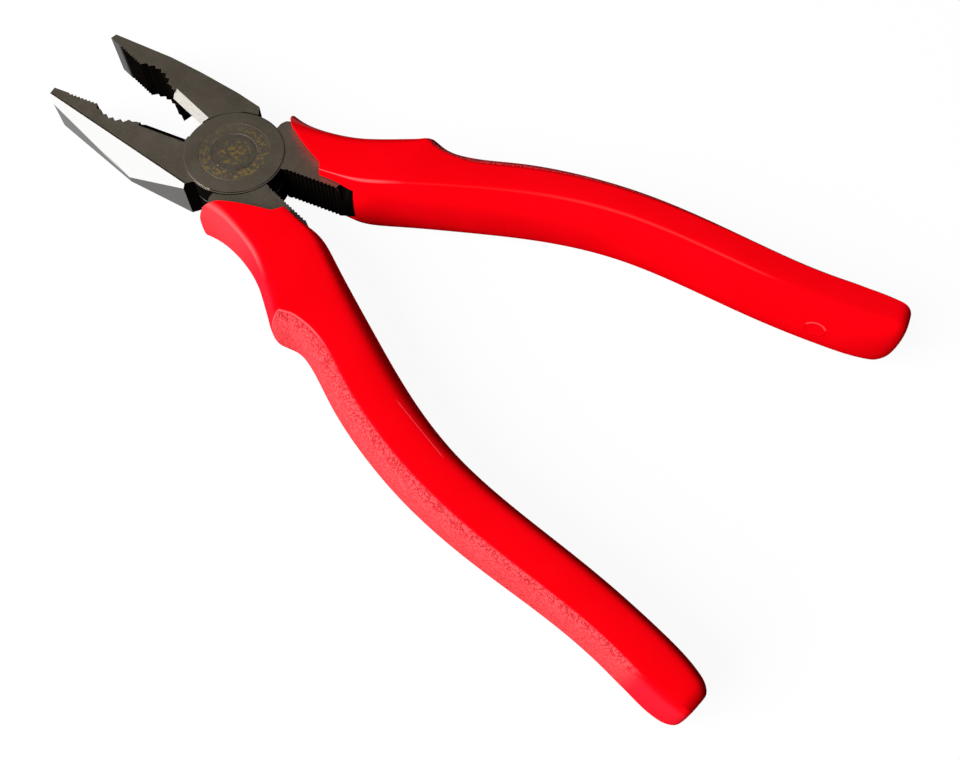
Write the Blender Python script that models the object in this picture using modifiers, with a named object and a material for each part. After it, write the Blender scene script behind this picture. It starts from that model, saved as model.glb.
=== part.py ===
"""Combination pliers with a lap joint, a flush rivet and two moulded sleeves.

Each half is drawn in its own closing frame: the pivot is the origin, +X runs to the jaw tip, the two
halves meet on the plane y = 0 when the jaws are shut, and z = 0 is the middle of the head. The jaw of a
half lies at +Y and its handle at -X and -Y. The rear half is the same forging turned over about X, and its
jaw is ground to an outline of its own.
"""

import math

import bmesh
import bpy
import numpy as np

MM = 0.001
WELD = 0.001 * MM
ARC_STEP = math.radians(5.0)
SHARP_ANGLE = math.radians(30.0)

# Head
JOINT_RADIUS = 12.0 * MM
HEAD_THICKNESS = 11.5 * MM
BOSS_RIM = 0.35 * MM
BOSS_HEIGHT = 0.2 * MM
HALF_OPENING = math.radians(11.4)
LAP_GAP = 0.25 * MM
CLOSED_GAP = 0.15 * MM

# Rivet
RIVET_RADIUS = 4.0 * MM
RIVET_HEAD_RADIUS = 5.3 * MM
RIVET_HEAD_DEPTH = 1.6 * MM
RIVET_GAP = 0.1 * MM
RIVET_SIDES = 48

# Jaw
JAW_LENGTH = 49.1 * MM
TIP_FLAT = 4.1 * MM
FINE_PITCH = 0.97 * MM
FINE_DEPTH = 0.4 * MM
FINE_COUNT = 8
PIPE_CHORD = 11.6 * MM
PIPE_DEPTH = 2.2 * MM
PIPE_TOOTH_DEPTH = 0.8 * MM
PIPE_TOOTH_COUNT = 6
PIPE_LAND = 0.7 * MM
PIPE_LAND_DROP = 1.1 * MM
HEEL_ANGLE = math.radians(63.0)
HEEL_REACH = 2.6 * MM
HEEL_FACE_ANGLE = math.radians(67.5)
BEVEL_ANGLE = math.radians(16.9)
BEVEL_BITE = 0.5 * MM
# Back of each jaw: (distance from the tip, width there). The two are ground by hand and differ a little.
FRONT_JAW_BACK = (
    (0.0 * MM, 2.5 * MM),
    (24.3 * MM, 10.85 * MM),
)
REAR_JAW_BACK = (
    (0.0 * MM, 1.65 * MM),
    (15.5 * MM, 7.1 * MM),
    (24.5 * MM, 9.45 * MM),
    (35.5 * MM, 11.85 * MM),
)

# Cutter
CUTTER_RECESS = 1.9 * MM
CUTTER_EDGE_DEPTH = 1.7 * MM
CUTTER_RELIEF_ANGLE = math.radians(26.0)
CUTTER_CLEAR = 0.35 * MM
EDGE_RUNOUT = 0.6 * MM

# Handle steel
CRIMP_OFFSET = 0.35 * MM
CRIMP_LENGTH = 18.0 * MM
CRIMP_START = 1.2 * MM
CRIMP_PITCH = 1.0 * MM
CRIMP_DEPTH = 0.35 * MM
CRIMP_COUNT = 13
NEST_LEAD = 0.15 * MM
NEST_RADIUS = 1.8 * MM
NEST_DEPTH = 9.0 * MM
LAND_DROP = 1.4 * MM
SHOULDER_ANGLE = math.radians(241.5)
SHOULDER_RUN = 2.2 * MM
SHOULDER_STEP = math.radians(30.0)
TANG_INSET = 0.6 * MM
TANG_TAPER_START = 3.0 * MM
TANG_TIP_THICKNESS = 7.0 * MM
TANG_TIP_WALL = 14.0 * MM
TANG_STEP = 6.0 * MM

# Lines along the handle: each is a list of (distance behind the joint, size there). The size is the distance
# from the closing plane, and for a bulge or a rounding it is how far that goes sideways.
TANG_EDGE = (
    (-6.0 * MM, 14.2 * MM),
    (4.4 * MM, 12.2 * MM),
    (15.8 * MM, 13.8 * MM),
    (26.0 * MM, 15.6 * MM),
    (38.8 * MM, 16.8 * MM),
    (49.9 * MM, 19.5 * MM),
    (63.0 * MM, 22.6 * MM),
    (78.8 * MM, 24.3 * MM),
    (96.9 * MM, 23.4 * MM),
    (114.8 * MM, 21.5 * MM),
    (147.0 * MM, 20.0 * MM),
)
OUTER_EDGE = (
    (-6.0 * MM, 17.7 * MM),
    (-2.0 * MM, 16.2 * MM),
    (4.4 * MM, 15.4 * MM),
    (15.8 * MM, 17.0 * MM),
    (24.5 * MM, 20.9 * MM),
    (29.2 * MM, 23.2 * MM),
    (33.4 * MM, 21.8 * MM),
    (38.8 * MM, 21.9 * MM),
    (49.9 * MM, 25.05 * MM),
    (63.0 * MM, 27.65 * MM),
    (78.8 * MM, 28.7 * MM),
    (96.9 * MM, 27.3 * MM),
    (114.8 * MM, 24.65 * MM),
    (130.0 * MM, 23.65 * MM),
    (136.5 * MM, 23.85 * MM),
    (141.0 * MM, 23.75 * MM),
    (147.0 * MM, 22.3 * MM),
)
OUTER_CREASE = (
    (-6.0 * MM, 12.2 * MM),
    (-2.0 * MM, 11.6 * MM),
    (4.0 * MM, 11.8 * MM),
    (9.0 * MM, 12.4 * MM),
    (13.5 * MM, 13.6 * MM),
    (18.5 * MM, 15.6 * MM),
    (22.5 * MM, 18.0 * MM),
    (25.0 * MM, 19.6 * MM),
    (27.2 * MM, 20.8 * MM),
    (28.6 * MM, 21.2 * MM),
    (29.3 * MM, 20.7 * MM),
    (29.8 * MM, 19.8 * MM),
    (30.6 * MM, 18.8 * MM),
    (31.8 * MM, 17.95 * MM),
    (33.8 * MM, 17.4 * MM),
    (36.3 * MM, 17.15 * MM),
    (39.2 * MM, 17.35 * MM),
    (42.7 * MM, 17.95 * MM),
    (48.6 * MM, 19.8 * MM),
    (54.3 * MM, 21.5 * MM),
    (60.0 * MM, 22.8 * MM),
    (70.4 * MM, 24.4 * MM),
    (81.0 * MM, 25.0 * MM),
    (94.2 * MM, 24.5 * MM),
    (110.0 * MM, 22.8 * MM),
    (126.4 * MM, 21.4 * MM),
    (137.0 * MM, 21.4 * MM),
    (147.0 * MM, 20.6 * MM),
)
INNER_CREASE = (
    (-6.0 * MM, 2.2 * MM),
    (9.0 * MM, 2.2 * MM),
    (13.8 * MM, 2.35 * MM),
    (18.5 * MM, 2.6 * MM),
    (24.5 * MM, 3.6 * MM),
    (38.8 * MM, 7.45 * MM),
    (56.0 * MM, 12.6 * MM),
    (78.8 * MM, 16.4 * MM),
    (96.9 * MM, 15.7 * MM),
    (114.8 * MM, 13.9 * MM),
    (133.0 * MM, 13.2 * MM),
    (141.5 * MM, 13.8 * MM),
    (147.0 * MM, 15.2 * MM),
)
INNER_BULGE = (
    (-6.0 * MM, 2.0 * MM),
    (24.5 * MM, 2.0 * MM),
    (48.0 * MM, 1.8 * MM),
    (78.8 * MM, 1.5 * MM),
    (114.8 * MM, 1.2 * MM),
    (147.0 * MM, 1.2 * MM),
)
INNER_ROUND = (
    (-6.0 * MM, 0.6 * MM),
    (14.0 * MM, 0.6 * MM),
    (30.0 * MM, 1.8 * MM),
    (78.8 * MM, 2.2 * MM),
    (147.0 * MM, 2.0 * MM),
)
MOUTH_LINE = (
    (-2.8 * MM, 18.6 * MM),
    (-4.4 * MM, 16.8 * MM),
    (-4.8 * MM, 14.6 * MM),
    (-3.7 * MM, 12.6 * MM),
    (1.2 * MM, 8.7 * MM),
    (7.4 * MM, 4.9 * MM),
    (8.8 * MM, 3.2 * MM),
    (9.7 * MM, 2.3 * MM),
)
SLEEVE_END = 146.1 * MM
SLEEVE_GAP = 0.3 * MM
MOUTH_WALL = 1.7 * MM
GRIP_WALL = 2.5 * MM
GRIP_WALL_FROM = 28.0 * MM
FACE_TILT = 0.2 * MM
END_ROUND = 3.2 * MM
END_CORNER = 1.4 * MM
END_RINGS = 4
MOUTH_LIP = 0.2 * MM
SLEEVE_STEP = 3.0 * MM
GUARD_START = 24.0 * MM
GUARD_END = 36.0 * MM
GUARD_STEP = 0.8 * MM
# Places up a bowed side, as shares of the way from the middle to the crease, and how square each side is
SIDE_STEPS = (0.0, 0.35, 0.62, 0.8, 0.92)
OUTER_BOW = 3.5
INNER_BOW = 2.0

# Colour, roughness and metallic value
STEEL_LOOK = ((0.085, 0.070, 0.052), 0.38, 1.0)
RIVET_LOOK = ((0.090, 0.074, 0.056), 0.42, 1.0)
VINYL_LOOK = ((0.85, 0.003, 0.006), 0.42, 0.0)

# Worked out from the sizes above
HALF_THICKNESS = HEAD_THICKNESS / 2
FACE_HALF = HALF_THICKNESS - BOSS_HEIGHT
CUT_MARGIN = HEAD_THICKNESS
FINE_START = JAW_LENGTH - TIP_FLAT
PIPE_START = FINE_START - FINE_COUNT * FINE_PITCH
PIPE_END = PIPE_START - PIPE_CHORD
LAND_EDGE = PIPE_END - PIPE_LAND
CUTTER_START = LAND_EDGE - EDGE_RUNOUT / 4
CRIMP_END = JOINT_RADIUS + CRIMP_LENGTH
LAND_START = JOINT_RADIUS + CRIMP_START + CRIMP_COUNT * CRIMP_PITCH
TANG_END = JOINT_RADIUS + SLEEVE_END - TANG_TIP_WALL


def clear_scene():
    for thing in list(bpy.data.objects):
        bpy.data.objects.remove(thing, do_unlink=True)


def make_collection(name):
    collection = bpy.data.collections.new(name)
    bpy.context.scene.collection.children.link(collection)
    return collection


def paint(thing, look):
    """Gives a piece a material of its own."""
    colour, roughness, metallic = look
    material = bpy.data.materials.new(thing.name)
    material.use_nodes = True
    shader = material.node_tree.nodes["Principled BSDF"]
    shader.inputs["Base Color"].default_value = (*colour, 1.0)
    shader.inputs["Roughness"].default_value = roughness
    shader.inputs["Metallic"].default_value = metallic
    thing.data.materials.append(material)


def shade(thing):
    """Smooth shading on rounded stretches, crisp edges elsewhere."""
    thing.data.shade_smooth()
    thing.data.set_sharp_from_angle(angle=SHARP_ANGLE)


def smooth_line(points):
    """Natural cubic curve through (distance, value) points, as a function of the distance."""
    places = np.array([place for place, value in points])
    values = np.array([value for place, value in points])
    steps = np.diff(places)
    slopes = np.diff(values) / steps
    count = len(points)
    system = np.eye(count)
    right = np.zeros(count)
    for i in range(1, count - 1):
        system[i, i - 1 : i + 2] = (steps[i - 1], 2 * (steps[i - 1] + steps[i]), steps[i])
        right[i] = 6 * (slopes[i] - slopes[i - 1])
    bends = np.linalg.solve(system, right)

    def value_at(place):
        i = int(np.clip(np.searchsorted(places, place) - 1, 0, count - 2))
        ahead = places[i + 1] - place
        behind = place - places[i]
        step = steps[i]
        curved = (bends[i] * ahead**3 + bends[i + 1] * behind**3) / (6 * step)
        start = (values[i] / step - bends[i] * step / 6) * ahead
        end = (values[i + 1] / step - bends[i + 1] * step / 6) * behind
        return float(curved + start + end)

    return value_at


def from_pivot(points):
    """The same smooth line, measured from the pivot."""
    line = smooth_line(points)
    return lambda reach: line(reach - JOINT_RADIUS)


tang_edge = from_pivot(TANG_EDGE)
outer_edge = from_pivot(OUTER_EDGE)
outer_crease = from_pivot(OUTER_CREASE)
inner_crease = from_pivot(INNER_CREASE)
inner_bulge = from_pivot(INNER_BULGE)
inner_round = from_pivot(INNER_ROUND)


def evenly(start, end, step):
    """Places from start to end, both included, about a step apart."""
    count = max(1, round(abs(end - start) / step))
    return [start + (end - start) * i / count for i in range(count + 1)]


def arc(radius, start, end):
    return [
        (radius * math.cos(angle), radius * math.sin(angle))
        for angle in evenly(start, end, ARC_STEP)
    ]


def jaw_inner_edge():
    """From the joint to the tip: cutting edge, toothed pipe grip, fine teeth and the flat tip."""
    points = [
        (LAND_EDGE - EDGE_RUNOUT, CLOSED_GAP),
        (LAND_EDGE, CLOSED_GAP + PIPE_LAND_DROP),
        (PIPE_END, CLOSED_GAP + PIPE_LAND_DROP),
    ]
    radius = (PIPE_CHORD**2 / 4 + PIPE_DEPTH**2) / (2 * PIPE_DEPTH)
    middle = (PIPE_START + PIPE_END) / 2
    centre = CLOSED_GAP + PIPE_DEPTH - radius
    for i in range(1, 2 * PIPE_TOOTH_COUNT):
        x = PIPE_END + PIPE_CHORD * i / (2 * PIPE_TOOTH_COUNT)
        floor = centre + math.sqrt(radius**2 - (x - middle) ** 2)
        points.append((x, floor + PIPE_TOOTH_DEPTH * (i % 2)))
    for i in range(FINE_COUNT):
        x = PIPE_START + i * FINE_PITCH
        points.append((x, CLOSED_GAP))
        points.append((x + FINE_PITCH / 2, CLOSED_GAP + FINE_DEPTH))
    points.append((FINE_START, CLOSED_GAP))
    points.append((JAW_LENGTH, CLOSED_GAP))
    return points


def jaw_back_edge(jaw_back):
    return [(JAW_LENGTH - place, CLOSED_GAP + width) for place, width in jaw_back]


def jaw_heel():
    radius = JOINT_RADIUS + HEEL_REACH
    return (radius * math.cos(HEEL_ANGLE), radius * math.sin(HEEL_ANGLE))


def handle_inner_edge():
    """From the joint back to the tang: crimping teeth and the sloping land behind them."""
    points = []
    for i in range(CRIMP_COUNT):
        x = -(JOINT_RADIUS + CRIMP_START + i * CRIMP_PITCH)
        points.append((x, -CRIMP_OFFSET))
        points.append((x - CRIMP_PITCH / 2, -CRIMP_OFFSET - CRIMP_DEPTH))
    points.append((-LAND_START, -CRIMP_OFFSET))
    points.append((-CRIMP_END, -CRIMP_OFFSET - LAND_DROP))
    return points


def tang_edges(spare):
    """Inner edge from the crimping face to the tang's tip, then the outer edge back to the shoulder."""
    inner = [
        (-reach, -inner_crease(reach) - TANG_INSET + spare)
        for reach in evenly(CRIMP_END + spare, TANG_END + spare, TANG_STEP)
    ]
    outer = [
        (-reach, -tang_edge(reach) - spare)
        for reach in evenly(TANG_END + spare, shoulder_end(), TANG_STEP)
    ]
    return inner + outer


def shoulder_end():
    return -JOINT_RADIUS * math.cos(SHOULDER_ANGLE) + SHOULDER_RUN


def shoulder_edge():
    """Rounded step from the handle's outer edge in to the joint circle."""
    root = (JOINT_RADIUS * math.cos(SHOULDER_ANGLE), JOINT_RADIUS * math.sin(SHOULDER_ANGLE))
    rise = -tang_edge(shoulder_end()) - root[1]
    return [
        (root[0] - SHOULDER_RUN * (1 - math.cos(turn)), root[1] + rise * math.sin(turn))
        for turn in evenly(math.pi / 2, 0.0, SHOULDER_STEP)[1:-1]
    ]


def half_outline(jaw_back):
    """Plan of one half, anticlockwise from where its jaw leaves the joint circle."""
    jaw_root = math.asin(CLOSED_GAP / JOINT_RADIUS)
    crimp_root = math.pi + math.asin(CRIMP_OFFSET / JOINT_RADIUS)
    points = jaw_inner_edge()
    points += jaw_back_edge(jaw_back)
    points.append(jaw_heel())
    points += arc(JOINT_RADIUS, HEEL_FACE_ANGLE, crimp_root)
    points += handle_inner_edge()
    points += tang_edges(0.0)
    points += shoulder_edge()
    points += arc(JOINT_RADIUS, SHOULDER_ANGLE, 2 * math.pi + jaw_root)
    return points


def flat_solid(name, outline, low, high, collection):
    """Closed mesh of a flat outline between two heights, from an extruded curve.

    The curve's own fill leaves slivers where many tooth tips lie in line, so each end is one face instead.
    """
    curve = bpy.data.curves.new(name, "CURVE")
    curve.dimensions = "2D"
    curve.fill_mode = "NONE"
    curve.extrude = (high - low) / 2
    spline = curve.splines.new("POLY")
    spline.points.add(len(outline) - 1)
    for point, (x, y) in zip(spline.points, outline):
        point.co = (x, y, 0.0, 1.0)
    spline.use_cyclic_u = True
    drawn = bpy.data.objects.new(name + "_curve", curve)
    bpy.context.scene.collection.objects.link(drawn)
    evaluated = drawn.evaluated_get(bpy.context.evaluated_depsgraph_get())
    mesh = bpy.data.meshes.new_from_object(evaluated)
    bpy.data.objects.remove(drawn, do_unlink=True)
    work = bmesh.new()
    work.from_mesh(mesh)
    bmesh.ops.remove_doubles(work, verts=work.verts, dist=WELD)
    bmesh.ops.holes_fill(work, edges=[edge for edge in work.edges if edge.is_boundary], sides=0)
    bmesh.ops.translate(work, verts=work.verts, vec=(0.0, 0.0, (high + low) / 2))
    bmesh.ops.recalc_face_normals(work, faces=work.faces)
    work.to_mesh(mesh)
    work.free()
    mesh.name = name
    return add_object(name, mesh, collection)


def add_object(name, mesh, collection):
    thing = bpy.data.objects.new(name, mesh)
    collection.objects.link(thing)
    return thing


def turned_solid(name, profile, collection):
    """Profile of (radius, height) points, listed from the top down, turned about Z."""
    mesh = bpy.data.meshes.new(name)
    edges = [(i, i + 1) for i in range(len(profile) - 1)]
    mesh.from_pydata([(radius, 0.0, height) for radius, height in profile], edges, [])
    thing = add_object(name, mesh, collection)
    screw = thing.modifiers.new("turn", "SCREW")
    screw.axis = "Z"
    screw.steps = RIVET_SIDES
    screw.render_steps = RIVET_SIDES
    screw.use_merge_vertices = True
    screw.merge_threshold = WELD
    return thing


def as_cutter(thing, parent):
    thing.hide_render = True
    thing.display_type = "WIRE"
    thing.parent = parent
    return thing


def combine(thing, tool, operation):
    boolean = thing.modifiers.new(tool.name, "BOOLEAN")
    boolean.operation = operation
    boolean.object = tool


def cut(thing, cutter):
    combine(thing, cutter, "DIFFERENCE")


def joint_boss(name, cutters):
    """Round land on the joint disc, a little proud of the jaw and the handle."""
    circle = arc(JOINT_RADIUS - BOSS_RIM, 0.0, 2 * math.pi)[:-1]
    return flat_solid(name, circle, FACE_HALF / 2, HALF_THICKNESS, cutters)


def lap_cutter(name, cutters):
    """Room for the other half's disc, from the far face up to just past the middle."""
    circle = arc(JOINT_RADIUS + LAP_GAP, 0.0, 2 * math.pi)[:-1]
    return flat_solid(name, circle, -CUT_MARGIN, LAP_GAP / 2, cutters)


def rivet_profile(spare):
    """Shank with one countersunk head at each face of the head of the pliers."""
    head = RIVET_HEAD_RADIUS + spare
    shank = RIVET_RADIUS + spare
    slope = HALF_THICKNESS - RIVET_HEAD_DEPTH
    return [
        (0.0, HALF_THICKNESS),
        (head, HALF_THICKNESS),
        (shank, slope),
        (shank, -slope),
        (head, -HALF_THICKNESS),
        (0.0, -HALF_THICKNESS),
    ]


def rivet_hole(name, cutters):
    """The rivet's own profile with its gap, run on past both faces."""
    profile = rivet_profile(RIVET_GAP)
    head = profile[1][0]
    top = [(0.0, CUT_MARGIN), (head, CUT_MARGIN)]
    bottom = [(head, -CUT_MARGIN), (0.0, -CUT_MARGIN)]
    return turned_solid(name, top + profile[1:-1] + bottom, cutters)


def bevel_cutter(name, jaw_back, cutters):
    """Everything outside the ground plane that leans out from just inside the jaw's front edge."""
    tip = jaw_back_edge(jaw_back)[0]
    heel = jaw_heel()
    length = math.dist(tip, heel)
    lean = math.tan(BEVEL_ANGLE)
    top = FACE_HALF + CUT_MARGIN
    section = [
        (-lean * CUT_MARGIN - BEVEL_BITE, top),
        (lean * (FACE_HALF + top) - BEVEL_BITE, -top),
        (JAW_LENGTH, -top),
        (JAW_LENGTH, top),
    ]
    cutter = flat_solid(name, section, -CUT_MARGIN, length + CUT_MARGIN, cutters)
    cutter.location = (heel[0], heel[1], 0.0)
    along = math.atan2(tip[1] - heel[1], tip[0] - heel[0])
    cutter.rotation_euler = (math.pi / 2, 0.0, math.pi / 2 + along)
    return cutter


def cutter_bevels(name, face, cutters):
    """The two ground flanks of the cutting edge; face is +1 where the edge lies near the local front."""
    start = JOINT_RADIUS + CUTTER_CLEAR
    edge = face * (FACE_HALF - CUTTER_EDGE_DEPTH)
    lean = CUTTER_RECESS / CUTTER_EDGE_DEPTH
    relief = math.tan(CUTTER_RELIEF_ANGLE)
    far = edge - face * (HEAD_THICKNESS + CUT_MARGIN)
    near = edge + face * CUT_MARGIN
    section = [
        (CLOSED_GAP + relief * abs(far - edge), far),
        (CLOSED_GAP, edge),
        (CLOSED_GAP + lean * CUT_MARGIN, near),
        (-CUT_MARGIN, near),
        (-CUT_MARGIN, far),
    ]
    cutter = flat_solid(name, section, start, CUTTER_START, cutters)
    cutter.rotation_euler = (math.pi / 2, 0.0, math.pi / 2)
    return cutter


def nest_cutter(name, cutters):
    """Half-round crimping nest behind the teeth, wide at the front face and running out towards the back."""
    slope = NEST_RADIUS / NEST_DEPTH
    profile = [
        (0.0, FACE_HALF + CUT_MARGIN),
        (slope * (NEST_DEPTH + CUT_MARGIN), FACE_HALF + CUT_MARGIN),
        (0.0, FACE_HALF - NEST_DEPTH),
    ]
    cutter = turned_solid(name, profile, cutters)
    cutter.location = (-LAND_START - NEST_LEAD - NEST_RADIUS, -CRIMP_OFFSET, 0.0)
    return cutter


def taper_cutter(name, side, spare, cutters):
    """Wedge over one face of the tang, thinning it from the mouth of the sleeve to the tip."""
    start = CRIMP_END + TANG_TAPER_START
    tip = TANG_TIP_THICKNESS / 2
    slope = (FACE_HALF - tip) / (TANG_END - start)

    def height(reach):
        return FACE_HALF + spare - slope * (reach - start)

    near = start - CUT_MARGIN
    far = TANG_END + CUT_MARGIN
    section = [
        (-near, side * height(near)),
        (-far, side * height(far)),
        (-far, side * 2 * CUT_MARGIN),
        (-near, side * 2 * CUT_MARGIN),
    ]
    cutter = flat_solid(name, section, -TANG_END, TANG_END, cutters)
    cutter.rotation_euler = (math.pi / 2, 0.0, 0.0)
    return cutter


def build_half(name, pivot, jaw_back, edge_face, parts, cutters):
    half = flat_solid(name, half_outline(jaw_back), -FACE_HALF, FACE_HALF, parts)
    half.parent = pivot
    paint(half, STEEL_LOOK)
    shade(half)
    combine(half, as_cutter(joint_boss(name + "_boss", cutters), pivot), "UNION")
    tools = [
        lap_cutter(name + "_lap", cutters),
        rivet_hole(name + "_hole", cutters),
        bevel_cutter(name + "_bevel", jaw_back, cutters),
        cutter_bevels(name + "_edge", edge_face, cutters),
        nest_cutter(name + "_nest", cutters),
        taper_cutter(name + "_taper_front", 1, 0.0, cutters),
        taper_cutter(name + "_taper_back", -1, 0.0, cutters),
    ]
    for tool in tools:
        cut(half, as_cutter(tool, pivot))


def face_height(reach):
    """Half the sleeve's thickness: thin at its mouth, full from the guard back."""
    share = min(1.0, max(0.0, (reach - JOINT_RADIUS) / GRIP_WALL_FROM))
    wall = MOUTH_WALL + (GRIP_WALL - MOUTH_WALL) * share * share * (3 - 2 * share)
    return FACE_HALF + SLEEVE_GAP + wall


def grip_ring(reach, inset, fall):
    """Section of the sleeve: flat faces between the creases, bowed sides, softened inner edges.

    Its sides are brought in by the inset, and its faces lowered by the fall.
    """
    outer = outer_crease(reach) - inset
    inner = inner_crease(reach) + inset
    outer_height = face_height(reach) - fall
    inner_height = outer_height + FACE_TILT
    outward = outer_edge(reach) - outer_crease(reach)
    inward = inner_bulge(reach)
    upper = [(-outer - outward * (1 - t**OUTER_BOW), outer_height * t) for t in SIDE_STEPS]
    upper.append((-outer, outer_height))
    upper.append((-inner - inner_round(reach), inner_height))
    upper += [(-inner + inward * (1 - t**INNER_BOW), inner_height * t) for t in reversed(SIDE_STEPS)]
    lower = [(y, -z) for y, z in reversed(upper) if z > 0.0]
    return [(-reach, y, z) for y, z in upper + lower]


def grip_rings():
    end = JOINT_RADIUS + SLEEVE_END
    places = evenly(JOINT_RADIUS + OUTER_EDGE[0][0], JOINT_RADIUS + GUARD_START, SLEEVE_STEP)[:-1]
    places += evenly(JOINT_RADIUS + GUARD_START, JOINT_RADIUS + GUARD_END, GUARD_STEP)
    places += evenly(JOINT_RADIUS + GUARD_END, end - END_ROUND, SLEEVE_STEP)[1:]
    rings = [grip_ring(reach, 0.0, 0.0) for reach in places]
    for i in range(1, END_RINGS + 1):
        turn = math.pi / 2 * i / END_RINGS
        reach = end - END_ROUND * (1 - math.sin(turn))
        share = 1 - math.cos(turn)
        rings.append(grip_ring(reach, END_CORNER * share, END_ROUND * share))
    return rings


def loft(name, rings, collection):
    """Skin over sections of changing shape, closed at both ends."""
    work = bmesh.new()
    loops = [[work.verts.new(point) for point in ring] for ring in rings]
    count = len(rings[0])
    for near, far in zip(loops, loops[1:]):
        for i in range(count):
            j = (i + 1) % count
            work.faces.new((near[i], near[j], far[j], far[i]))
    work.faces.new(loops[0])
    work.faces.new(loops[-1])
    bmesh.ops.recalc_face_normals(work, faces=work.faces)
    mesh = bpy.data.meshes.new(name)
    work.to_mesh(mesh)
    work.free()
    return add_object(name, mesh, collection)


def tang_room(name, pivot, cutters):
    """The handle steel with the sleeve's gap all round, as the sleeve's cavity."""
    front = (0.0, -CRIMP_OFFSET + SLEEVE_GAP)
    corner = (-(CRIMP_END + SLEEVE_GAP), -CRIMP_OFFSET + SLEEVE_GAP)
    edges = tang_edges(SLEEVE_GAP)
    outline = [front, corner] + edges + [(0.0, edges[-1][1])]
    height = FACE_HALF + SLEEVE_GAP
    room = as_cutter(flat_solid(name, outline, -height, height, cutters), pivot)
    for side, face in ((1, "_front"), (-1, "_back")):
        cut(room, as_cutter(taper_cutter(name + face, side, SLEEVE_GAP, cutters), pivot))
    return room


def mouth_cutter(name, cutters):
    """Slanting mouth of the sleeve, and the strip that leaves the crimping face bare."""
    lip = CRIMP_END + SLEEVE_GAP + MOUTH_LIP
    line = [(-(JOINT_RADIUS + behind), -drop) for behind, drop in MOUTH_LINE]
    below = line[0][1] - CUT_MARGIN
    outline = [(line[0][0], below), *line]
    outline += [(-lip, line[-1][1]), (-lip, CUT_MARGIN)]
    outline += [(CUT_MARGIN, CUT_MARGIN), (CUT_MARGIN, below)]
    return flat_solid(name, outline, -2 * CUT_MARGIN, 2 * CUT_MARGIN, cutters)


def build_grip(name, pivot, parts, cutters):
    grip = loft(name, grip_rings(), parts)
    grip.parent = pivot
    paint(grip, VINYL_LOOK)
    shade(grip)
    cut(grip, tang_room(name + "_room", pivot, cutters))
    cut(grip, as_cutter(mouth_cutter(name + "_mouth", cutters), pivot))


def build_rivet(pivot, parts):
    rivet = turned_solid("pivot_rivet", rivet_profile(0.0), parts)
    rivet.parent = pivot
    paint(rivet, RIVET_LOOK)


def make_pivot(name, rotation, collection):
    """Empty on the rivet's axis at the middle of the head; the rear face of the head is z = 0."""
    pivot = bpy.data.objects.new(name, None)
    pivot.location = (0.0, 0.0, HALF_THICKNESS)
    pivot.rotation_euler = rotation
    collection.objects.link(pivot)
    return pivot


def main():
    clear_scene()
    parts = make_collection("combination_pliers")
    cutters = make_collection("cutters")
    front = make_pivot("front_pivot", (0.0, 0.0, HALF_OPENING), parts)
    rear = make_pivot("rear_pivot", (math.pi, 0.0, -HALF_OPENING), parts)
    bpy.context.view_layer.update()
    build_half("front_half", front, FRONT_JAW_BACK, 1, parts, cutters)
    build_half("rear_half", rear, REAR_JAW_BACK, -1, parts, cutters)
    build_rivet(rear, parts)
    build_grip("front_grip", front, parts, cutters)
    build_grip("rear_grip", rear, parts, cutters)
    bpy.context.view_layer.update()


main()
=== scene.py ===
import math
from types import SimpleNamespace

import bmesh
import bpy
import numpy as np
from mathutils import Euler, Matrix, Vector

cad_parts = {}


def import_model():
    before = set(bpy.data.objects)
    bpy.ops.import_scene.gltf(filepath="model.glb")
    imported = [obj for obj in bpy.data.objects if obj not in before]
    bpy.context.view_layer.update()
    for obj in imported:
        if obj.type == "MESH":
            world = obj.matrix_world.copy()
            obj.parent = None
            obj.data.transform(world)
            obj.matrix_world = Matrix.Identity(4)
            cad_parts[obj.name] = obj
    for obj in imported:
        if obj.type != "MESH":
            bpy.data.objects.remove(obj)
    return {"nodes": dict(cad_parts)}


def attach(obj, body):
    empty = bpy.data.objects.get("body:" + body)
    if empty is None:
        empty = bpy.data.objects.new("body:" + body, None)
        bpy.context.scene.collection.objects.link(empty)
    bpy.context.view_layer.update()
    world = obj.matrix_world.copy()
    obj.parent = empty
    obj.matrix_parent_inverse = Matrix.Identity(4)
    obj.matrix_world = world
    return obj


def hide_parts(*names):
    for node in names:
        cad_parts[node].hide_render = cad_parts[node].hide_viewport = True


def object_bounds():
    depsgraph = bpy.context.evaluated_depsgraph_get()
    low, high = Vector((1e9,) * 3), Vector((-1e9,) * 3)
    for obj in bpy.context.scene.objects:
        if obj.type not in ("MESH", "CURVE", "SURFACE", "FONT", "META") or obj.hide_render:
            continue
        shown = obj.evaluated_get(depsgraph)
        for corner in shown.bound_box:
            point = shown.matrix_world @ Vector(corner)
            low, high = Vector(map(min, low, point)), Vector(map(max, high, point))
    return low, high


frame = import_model()
CAD_BOX = [list(corner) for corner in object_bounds()]

# Lengths are in millimetres. Only the places and sizes of the camera, light and floor are in metres.
MM = 0.001
SAME_PLACE = 0.001

# Sizes of the CAD part
HALF_OPENING = math.radians(11.4)
JOINT_RADIUS = 12.0
HALF_THICKNESS = 5.75
FACE_HALF = 5.55

# Fine rounding of the steel's hard edges
HALF_EDGE_BREAK = 0.08
RIVET_EDGE_BREAK = 0.04
EDGE_BREAK_STEPS = 2
EDGE_BREAK_ANGLE = math.radians(24.0)
FLATTEN_ANGLE = math.radians(0.3)

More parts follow.
